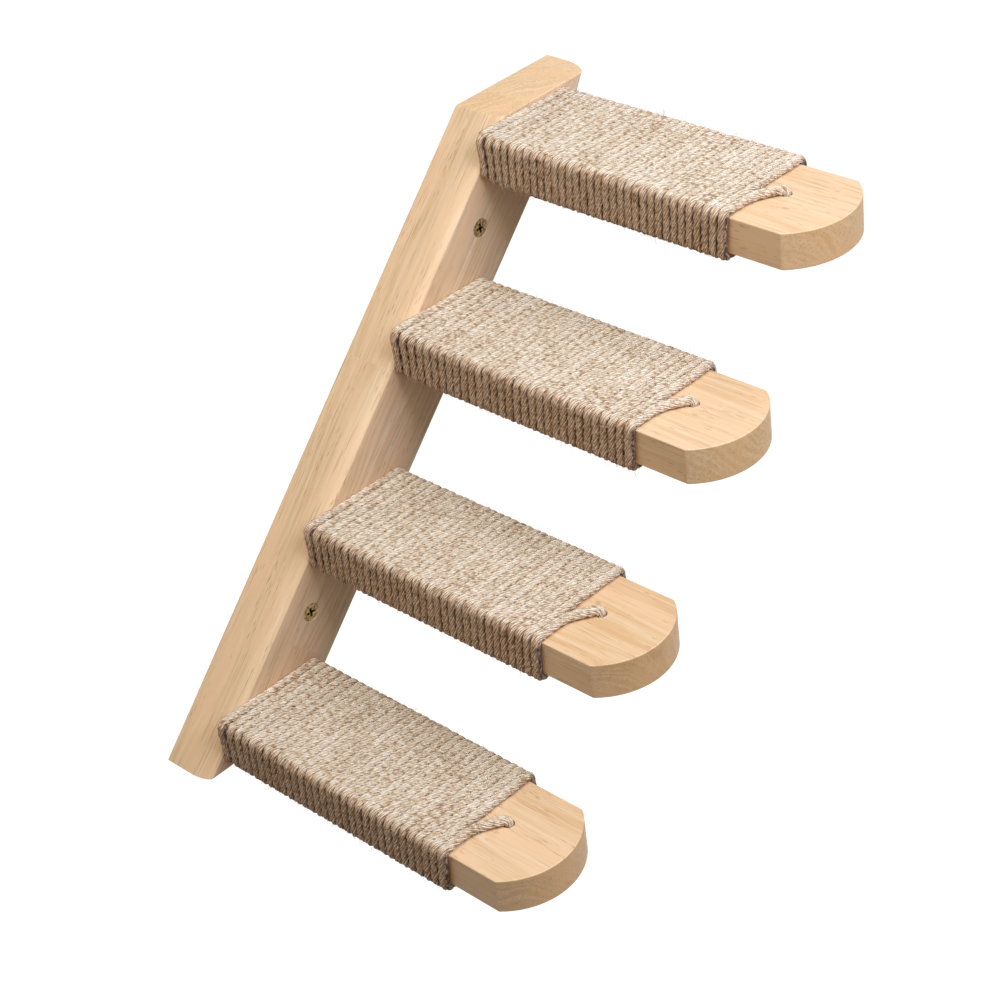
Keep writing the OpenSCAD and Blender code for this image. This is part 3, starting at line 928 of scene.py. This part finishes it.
def lay_rope_tree():
    """Sweeps a lobed, turning outline along a chain of edges and presses it to its place."""
    tree, add, given = modifier_tree("lay_rope", {
        "Pressed Width": "Float",
        "Pressed Height": "Float",
        "Free Diameter": "Float",
        "Lay Length": "Float",
        "Sides": "Int",
        "Strand Depth": "Float",
        "Unevenness": "Float",
        "Seed": "Float",
        "Material": "Material",
    })
    spot = add("GeometryNodeInputPosition")
    curve = add("GeometryNodeMeshToCurve", {"Mesh": given["Geometry"]})
    along = add("GeometryNodeSplineParameter")
    turns = add("Math", {0: along.outputs["Length"], 1: given["Lay Length"]}, "DIVIDE")
    turns = add("Math", {0: turns, 1: given["Seed"]}, "ADD")
    angle = add("Math", {0: turns, 1: math.tau}, "MULTIPLY")
    twisted = add("GeometryNodeSetCurveTilt", {"Curve": curve, "Tilt": angle})
    marked = add("GeometryNodeStoreNamedAttribute", {
        "Geometry": twisted, "Name": STRAND_ALONG, "Value": along.outputs["Length"],
    }, data_type="FLOAT", domain="POINT")
    marked = add("GeometryNodeStoreNamedAttribute", {
        "Geometry": marked, "Name": "centre", "Value": spot,
    }, data_type="FLOAT_VECTOR", domain="POINT")

    # The outline: a circle whose radius dips between the strands. A point lies in each dip
    circle = add("GeometryNodeCurvePrimitiveCircle", {"Resolution": given["Sides"], "Radius": 1})
    outline = add("GeometryNodeStoreNamedAttribute", {
        "Geometry": circle, "Name": STRAND_AROUND, "Value": spot,
    }, data_type="FLOAT_VECTOR", domain="POINT")
    lobe = strand_lobe(add, spot)
    dip = add("Math", {0: 1, 1: lobe}, "SUBTRACT")
    dip = add("Math", {0: dip, 1: given["Strand Depth"]}, "MULTIPLY")
    radius = add("Math", {0: 1, 1: dip}, "SUBTRACT")
    lobed = add("VectorMath", {0: spot, "Scale": radius}, "SCALE")
    outline = add("GeometryNodeSetPosition", {"Geometry": outline, "Position": lobed})
    swept = add("GeometryNodeCurveToMesh", {
        "Curve": marked, "Profile Curve": outline, "Fill Caps": True,
    })

    # The offset of a point from the rope's middle, along the step and outwards
    centre = add("GeometryNodeInputNamedAttribute", {"Name": "centre"}, data_type="FLOAT_VECTOR")
    offset = add("VectorMath", {0: spot, 1: centre}, "SUBTRACT")
    aside = add("VectorMath", {0: offset, 1: (1, 0, 0)}, "MULTIPLY")
    outward = add("VectorMath", {0: offset, 1: (0, 1, 1)}, "MULTIPLY")
    parts = [add("VectorMath", {0: v}, "LENGTH") for v in (aside, outward, offset)]
    flank, opened, length, girth = [
        add("GeometryNodeInputNamedAttribute", {"Name": name}, data_type="FLOAT")
        for name in (FLANK, "opened", STRAND_ALONG, "girth")
    ]
    power = add("MapRange", {"Value": flank, "To Min": PRESSED_TOP, "To Max": PRESSED_FLANK})
    root = add("Math", {0: 1, 1: power}, "DIVIDE")
    powers = [add("Math", {0: v, 1: power}, "POWER") for v in parts[:2]]
    squared = add("Math", {0: powers[0], 1: powers[1]}, "ADD")
    squared = add("Math", {0: squared, 1: root}, "POWER")
    squarer = add("Math", {0: parts[2], 1: squared}, "DIVIDE")
    wide = add("VectorMath", {0: aside, "Scale": given["Pressed Width"]}, "SCALE")
    high = add("VectorMath", {0: outward, "Scale": given["Pressed Height"]}, "SCALE")
    pressed = add("VectorMath", {0: wide, 1: high}, "ADD")
    pressed = add("VectorMath", {0: pressed, "Scale": squarer}, "SCALE")
    free = add("VectorMath", {0: offset, "Scale": given["Free Diameter"]}, "SCALE")
    shaped = add("Mix", {0: opened, 4: pressed, 5: free}, data_type="VECTOR")

    # The rope swells and thins, as spun fibre does
    around = add("GeometryNodeInputNamedAttribute", {"Name": STRAND_AROUND}, data_type="FLOAT_VECTOR")
    run = add("Math", {0: length, 1: 1 / (6 * MM), 2: given["Seed"]}, "MULTIPLY_ADD")
    run = add("CombineXYZ", {"Z": run})
    lump_at = add("VectorMath", {0: around, 1: run}, "ADD")
    lump = add("TexNoise", {"Vector": lump_at, "Scale": 1, "Detail": 2})
    lump = add("Math", {0: lump, 1: 0.5}, "SUBTRACT")
    lump = add("Math", {0: lump, 1: given["Unevenness"], 2: 1}, "MULTIPLY_ADD")
    size = add("Math", {0: lump, 1: girth}, "MULTIPLY")
    size = add("Math", {0: size, 1: 0.5}, "MULTIPLY")
    shaped = add("VectorMath", {0: shaped, "Scale": size}, "SCALE")
    placed = add("VectorMath", {0: centre, 1: shaped}, "ADD")
    sideways = add("Math", {0: parts[0], 1: parts[2]}, "DIVIDE")
    bound = add("Math", {0: 1, 1: opened}, "SUBTRACT")
    sideways = add("Math", {0: sideways, 1: bound}, "MULTIPLY")
    noted = add("GeometryNodeStoreNamedAttribute", {
        "Geometry": swept, "Name": TURN_GAP, "Value": sideways,
    }, data_type="FLOAT", domain="POINT")
    rope = add("GeometryNodeSetPosition", {"Geometry": noted, "Position": placed})
    soft = add("GeometryNodeSetShadeSmooth", {0: rope})
    end_tree(add, given, soft)
    return tree


ROPE_TREE = lay_rope_tree()
ropes = {}
for k in STEPS:
    ropes[k] = grow(ways[k][0], ROPE_TREE, {
        "Pressed Width": pitch_of(k) * ROPE_SNUG,
        "Pressed Height": ROPE_HIGH,
        "Free Diameter": ROPE_FREE_D,
        "Lay Length": ROPE_LAY,
        "Sides": ROPE_SIDES,
        "Strand Depth": STRAND_DEPTH,
        "Unevenness": 0.3,
        "Seed": 0.37 * k,
        "Material": JUTE,
    }, f"jute_rope_{k}")
    dress(ropes[k], JUTE, "jute_rope", f"step_{k}_rope")

# %% [markdown]
# ## Stray fibres
# Jute is spun from short fibres, and some ends always stand off the rope. They blur its
# outline and catch the light over the dark gaps. A second tree scatters points over the
# rope, sets a short curve on each, bends it by a noise and gives it a thin three-sided
# section that tapers to the tip. They are a piece of their own, so their number can be changed
# without touching the rope.

# %% Fibre tree
FIBRE_L = 6 * MM
FIBRE_R = 0.1 * MM
FIBRE_PER_M2 = 36000


def fibre_tree():
    """Scatters bent, tapering fibres over a rope."""
    tree, add, given = modifier_tree("stray_fibres", {
        "Fibres per Area": "Float",
        "Fibre Length": "Float",
        "Fibre Radius": "Float",
        "Seed": "Int",
        "Material": "Material",
    })
    points = add("GeometryNodeDistributePointsOnFaces", {
        "Mesh": given["Geometry"], "Density": given["Fibres per Area"], "Seed": given["Seed"],
    })

    # A fibre leans: its root direction is the surface's normal and a larger random part
    lean = add("FunctionNodeRandomValue", {
        0: (-1, -1, -1), 1: (1, 1, 1), "Seed": given["Seed"],
    }, data_type="FLOAT_VECTOR")
    stand = add("VectorMath", {0: points.outputs["Normal"], "Scale": 0.55}, "SCALE")
    stand = add("VectorMath", {0: stand, 1: lean}, "ADD")
    turn = add("FunctionNodeAlignRotationToVector", {"Vector": stand}, axis="Z")
    size = add("FunctionNodeRandomValue", {2: 0.35, 3: 1.3, "Seed": given["Seed"]}, data_type="FLOAT")
    tip = add("CombineXYZ", {"Z": given["Fibre Length"]})
    line = add("GeometryNodeCurvePrimitiveLine", {"End": tip})
    line = add("GeometryNodeResampleCurve", {"Curve": line, "Count": 5})
    placed = add("GeometryNodeInstanceOnPoints", {
        "Points": points, "Instance": line, "Rotation": turn, "Scale": size,
    })
    real = add("GeometryNodeRealizeInstances", {0: placed})
    share = add("GeometryNodeSplineParameter")
    spot = add("GeometryNodeInputPosition")
    bend = add("TexNoise", {"Vector": spot, "Scale": 1 / (5 * MM), "Detail": 0})
    bend = add("VectorMath", {0: bend.outputs["Color"], 1: (0.5, 0.5, 0.5)}, "SUBTRACT")
    reach = add("Math", {0: share, 1: given["Fibre Length"]}, "MULTIPLY")
    bend = add("VectorMath", {0: bend, "Scale": reach}, "SCALE")
    bend = add("VectorMath", {0: bend, "Scale": 1.6}, "SCALE")
    bent = add("GeometryNodeSetPosition", {"Geometry": real, "Offset": bend})
    taper = add("Math", {0: share, 1: -0.85, 2: 1}, "MULTIPLY_ADD")
    radius = add("Math", {0: taper, 1: given["Fibre Radius"]}, "MULTIPLY")
    section = add("GeometryNodeCurvePrimitiveCircle", {"Resolution": 3, "Radius": 1})
    fibres = add("GeometryNodeCurveToMesh", {
        "Curve": bent, "Profile Curve": section, "Scale": radius, "Fill Caps": True,
    })
    end_tree(add, given, fibres)
    return tree


FIBRE_TREE = fibre_tree()
for k in STEPS:
    fuzz = grow(ropes[k], FIBRE_TREE, {
        "Fibres per Area": FIBRE_PER_M2,
        "Fibre Length": FIBRE_L,
        "Fibre Radius": FIBRE_R,
        "Seed": 5 + k,
        "Material": JUTE_FIBRE,
    }, f"stray_fibres_{k}")
    dress(fuzz, JUTE_FIBRE, "jute_rope")
for way, _ in ways.values():
    discard(way)

# %% [markdown]
# ## Screws
# A wood screw's thread is a sharp ridge wound round a core, and it runs out along the point.
# A third tree winds it: a spiral curve carries a square section, and its outer corner is the
# ridge. The head and the core are turned like the real ones. The recess is a cross that
# narrows towards its bottom, which a driver's tip fits.

# %% Screws
def thread_tree():
    """Winds a tapering ridge round the X axis."""
    tree, add, given = modifier_tree("screw_thread", {
        "Length": "Float",
        "Pitch": "Float",
        "Core Radius": "Float",
        "Ridge Height": "Float",
        "Run Out": "Float",
        "Material": "Material",
    })
    turns = add("Math", {0: given["Length"], 1: given["Pitch"]}, "DIVIDE")
    spiral = add("GeometryNodeCurveSpiral", {
        "Resolution": 20,
        "Rotations": turns,
        "Start Radius": given["Core Radius"],
        "End Radius": given["Core Radius"],
        "Height": given["Length"],
    })
    share = add("GeometryNodeSplineParameter")
    left = add("Math", {0: 1, 1: share}, "SUBTRACT")
    left = add("Math", {0: left, 1: given["Length"]}, "MULTIPLY")
    fade = add("Math", {0: left, 1: given["Run Out"]}, "DIVIDE")
    fade = add("Math", {0: fade, 1: 1}, "MINIMUM")
    fade = add("Math", {0: fade, 1: 0.15}, "MAXIMUM")
    spot = add("GeometryNodeInputPosition")
    shrink = add("CombineXYZ", {"X": fade, "Y": fade, "Z": 1.0})
    pulled = add("VectorMath", {0: spot, 1: shrink}, "MULTIPLY")
    pointed = add("GeometryNodeSetPosition", {"Geometry": spiral, "Position": pulled})
    ridge = add("Math", {0: given["Ridge Height"], 1: fade}, "MULTIPLY")
    section = add("GeometryNodeCurvePrimitiveCircle", {"Resolution": 4, "Radius": 1})
    wound = add("GeometryNodeCurveToMesh", {
        "Curve": pointed, "Profile Curve": section, "Scale": ridge, "Fill Caps": True,
    })
    laid = add("GeometryNodeTransform", {"Geometry": wound, "Rotation": (0, math.radians(90), 0)})
    end_tree(add, given, laid)
    return tree


def recess_cutter(arm):
    """A cross that narrows towards its bottom, along X."""
    outlines = []
    for x, size in ((-OVERRUN, 1.25), (0, 1), (RECESS_DEEP * 0.8, 0.5), (RECESS_DEEP, 0.12)):
        half = RECESS_HALF_ARM * size ** 0.5
        outline = []
        for quarter in range(4):
            turned = Matrix.Rotation(math.radians(90) * quarter, 3, "X")
            for y, z in ((arm * size, -half), (arm * size, half), (half * 1.25, half * 1.25)):
                outline.append(turned @ Vector((x, y, z)))
        outlines.append(outline)
    return prism("recess", *outlines)


def screw(node, name, material, slot):
    """A countersunk cross-head wood screw in the place of a CAD screw."""
    sizes = screw_sizes(node)
    plain_l = BOARD_T - sizes["sink"]
    head_r = sizes["head"] / 2
    shank_r = sizes["shank"] / 2
    core_r = sizes["core"] / 2
    long = sizes["long"]
    rim = HEAD_RIM
    body = lathe(name, [
        (0, 0),
        (0, head_r - rim),
        (rim * 0.3, head_r - rim * 0.3),
        (rim, head_r),
        (rim * 1.6, head_r),
        (head_r - shank_r + rim, shank_r),
        (plain_l, shank_r),
        (plain_l + rim, core_r),
        (long - POINT_L, core_r),
        (long - rim, POINT_R),
        (long, 0),
    ], Matrix.Identity(4))
    cut(body, [recess_cutter(RECESS_SHARE * head_r)])
    thread = grow(body, THREAD_TREE, {
        "Length": long - plain_l - rim,
        "Pitch": sizes["pitch"],
        "Core Radius": core_r,
        "Ridge Height": sizes["thread"] / 2 - core_r,
        "Run Out": POINT_L,
        "Material": material,
    }, "thread")
    build = bmesh.new()
    build.from_mesh(thread.data)
    build.transform(Matrix.Translation((plain_l, 0, 0)))
    build.from_mesh(body.data)
    build.transform(screw_place(node))
    build.to_mesh(body.data)
    build.free()
    discard(thread)
    smooth_faces(body, 35)
    dress(body, material, slot, node)


THREAD_TREE = thread_tree()
for node in WALL_SCREWS:
    screw(node, "brass_" + node, ANTIQUE_BRASS, "brassed_screw")
for node in STEP_SCREWS:
    screw(node, "zinc_" + node, BRIGHT_ZINC, "zinc_screw")

# %% [markdown]
# ## Floor and light
# The object hangs on a wall in use, and the photograph shows it against plain white. Here
# it floats over a wide floor that runs out of sight. The floor is white to the camera and in
# reflections. To all other light it is an ordinary matt surface that takes the object's soft
# shadow and throws a little light back up. Two soft boxes light the object, one from the
# upper front and one from above the near side, and both hang so close that the lower steps
# get less light.

# %% Floor, world and lamps
FLOOR_Z = -0.75
FLOOR_HALF = 14
LAMP_SIZE = 0.8
LIT_POINT = (0.12, 0, 0)


def seen_directly(add):
    """1 for what the camera sees, also by a mirror or through glass, and 0 for other light."""
    ray = add("LightPath")
    seen = ray.outputs["Is Camera Ray"]
    for way in ("Is Glossy Ray", "Is Transmission Ray"):
        seen = add("Math", {0: seen, 1: ray.outputs[way]}, "MAXIMUM")
    return seen


def floor_material():
    """Matt floor that glows white to the camera and in reflections."""
    material, add = new_material("pale_matt_floor")
    seen = seen_directly(add)
    matt = add("BsdfDiffuse", {"Color": colour("#9A9086")})
    glow = add("Emission", {"Color": (1, 1, 1, 1), "Strength": seen})
    both = add("AddShader", {0: matt, 1: glow})
    add("OutputMaterial", {"Surface": both})
    return material


def area_lamp(name, at, power, tint):
    """A square soft box that faces the lit point. Its power is in watts."""
    data = bpy.data.lights.new(name, "AREA")
    data.shape = "SQUARE"
    data.size = LAMP_SIZE
    data.energy = power
    data.color = colour(tint)[:3]
    lamp = bpy.data.objects.new(name, data)
    bpy.context.scene.collection.objects.link(lamp)
    aim = Vector(at) - Vector(LIT_POINT)
    lamp.matrix_world = Matrix.Translation(at) @ aim.to_track_quat("Z", "Y").to_matrix().to_4x4()


floor_mesh = bpy.data.meshes.new("floor")
corners = [(x * FLOOR_HALF, y * FLOOR_HALF, FLOOR_Z) for x, y in ((-1, -1), (1, -1), (1, 1), (-1, 1))]
floor_mesh.from_pydata(corners, [], [(0, 1, 2, 3)])
floor = new_object("floor", floor_mesh)
floor.data.materials.append(floor_material())

world = bpy.data.worlds.new("studio")
bpy.context.scene.world = world
world.use_nodes = True
world.node_tree.nodes.clear()
add = partial(add_node, world.node_tree)
fill = add("Background", {"Color": colour("#FFDCBC"), "Strength": 0.11})
backdrop = add("Background", {"Color": (1, 1, 1, 1), "Strength": 1})
mixed = add("MixShader", {0: seen_directly(add), 1: fill, 2: backdrop})
add("OutputWorld", {"Surface": mixed})

area_lamp("near_upper_lamp", (0.2, -0.6, 1.2), 11.4, "#FCFFF6")
area_lamp("front_upper_lamp", (0.9, 0.15, 0.9), 15.6, "#DFE9FF")
bpy.context.scene.view_settings.view_transform = "Standard"
